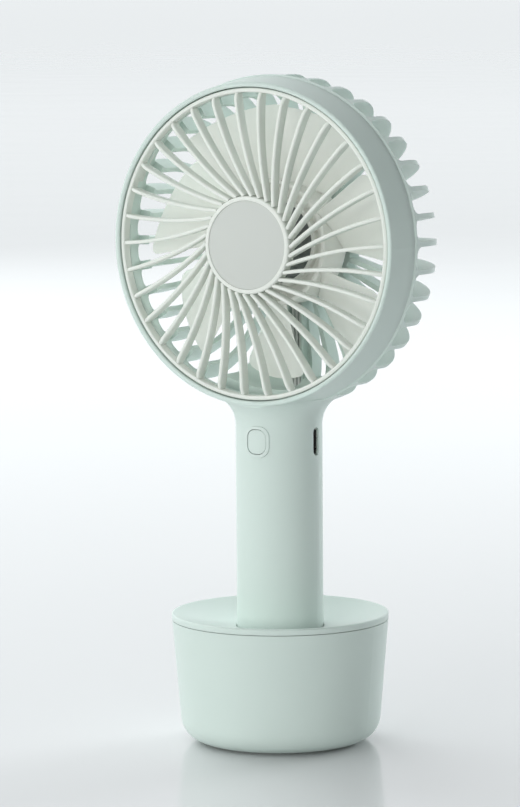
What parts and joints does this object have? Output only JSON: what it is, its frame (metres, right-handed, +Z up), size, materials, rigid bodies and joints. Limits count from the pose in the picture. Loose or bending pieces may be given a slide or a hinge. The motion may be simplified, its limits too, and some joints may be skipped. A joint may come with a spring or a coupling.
{
  "type": "handheld fan with charging cradle",
  "caption": "Battery handheld fan with a round slotted head, swirling front grille and push button, standing in a round dished charging cradle.",
  "frame": {"origin": "on the table under the middle of the cradle", "axes": "+Z up along the handle, the fan blows towards -Y, +X is the side of the handle with the charging inlet"},
  "size_m": [0.1072, 0.0704, 0.2159],
  "materials": {
    "shell_plastic": "satin moulded",
    "grille_plastic": "satin moulded",
    "badge_plastic": "satin",
    "impeller_plastic": "moulded",
    "button_plastic": "satin",
    "inner_plastic": "moulded",
    "rotor_steel": "plated",
    "shaft_steel": "ground",
    "core_steel": "stacked sheets",
    "magnet": "dark",
    "copper": "enamelled wire",
    "brass": "gold plated",
    "nickel": "nickel plated",
    "circuit_board": "solder mask",
    "component": "moulded",
    "cell_wrap": "shrink wrap",
    "foam": "foam",
    "lead_insulation": "insulation",
    "motor_lead_insulation": "insulation",
    "foot_rubber": "matt",
    "ballast_steel": "coated"
  },
  "bodies": {
    "cradle": {"cradle_cup": "shell_plastic", "cradle_dish": "shell_plastic", "cradle_foot_ring": "foot_rubber", "cradle_screws": "nickel", "cradle_ballast": "ballast_steel", "cradle_board": "circuit_board", "cradle_inlet": "nickel", "cradle_inlet_tongue": "component", "contact_barrels": "brass"},
    "pin_centre": {"contact_pin_centre": "brass"},
    "pin_outer": {"contact_pin_outer": "brass"},
    "fan": {"front_shell": "shell_plastic", "rear_shell": "shell_plastic", "motor_base": "inner_plastic", "stator_core": "core_steel", "stator_coils": "copper", "motor_bearings": "shaft_steel", "motor_screws": "nickel", "button_bezel": "button_plastic", "control_board": "circuit_board", "button_switch": "component", "charge_inlet": "nickel", "charge_inlet_tongue": "component", "board_components": "component", "battery_cell": "cell_wrap", "battery_tabs": "nickel", "battery_pads": "foam", "motor_leads": "motor_lead_insulation", "battery_leads": "lead_insulation", "charge_leads": "lead_insulation", "handle_end_cap": "shell_plastic", "charge_pads": "brass"},
    "grille": {"front_grille": "grille_plastic", "hub_badge": "badge_plastic"},
    "rotor": {"impeller": "impeller_plastic", "rotor_bell": "rotor_steel", "rotor_magnet": "magnet", "motor_shaft": "shaft_steel"},
    "button": {"power_button": "button_plastic"}
  },
  "joints": [
    {"name": "fan_lift", "type": "slide", "parent": "cradle", "child": "fan", "axis": [0, 0, 1], "range_m": [0, 0.05]},
    {"name": "impeller_spin", "type": "hinge", "parent": "fan", "child": "rotor", "pos_m": [0, 0, 0.1623], "axis": [0, 1, 0], "continuous": true},
    {"name": "grille_twist", "type": "hinge", "parent": "fan", "child": "grille", "pos_m": [0, 0, 0.1623], "axis": [0, -1, 0], "range_deg": [0, 12]},
    {"name": "button_press", "type": "slide", "parent": "fan", "child": "button", "axis": [0, 1, 0], "range_m": [0, 0.0004], "stiffness_N_per_m": 800},
    {"name": "pin_centre_press", "type": "slide", "parent": "cradle", "child": "pin_centre", "axis": [0, 0, -1], "range_m": [0, 0.0006], "stiffness_N_per_m": 300},
    {"name": "pin_outer_press", "type": "slide", "parent": "cradle", "child": "pin_outer", "axis": [0, 0, -1], "range_m": [0, 0.0006], "stiffness_N_per_m": 300}
  ]
}
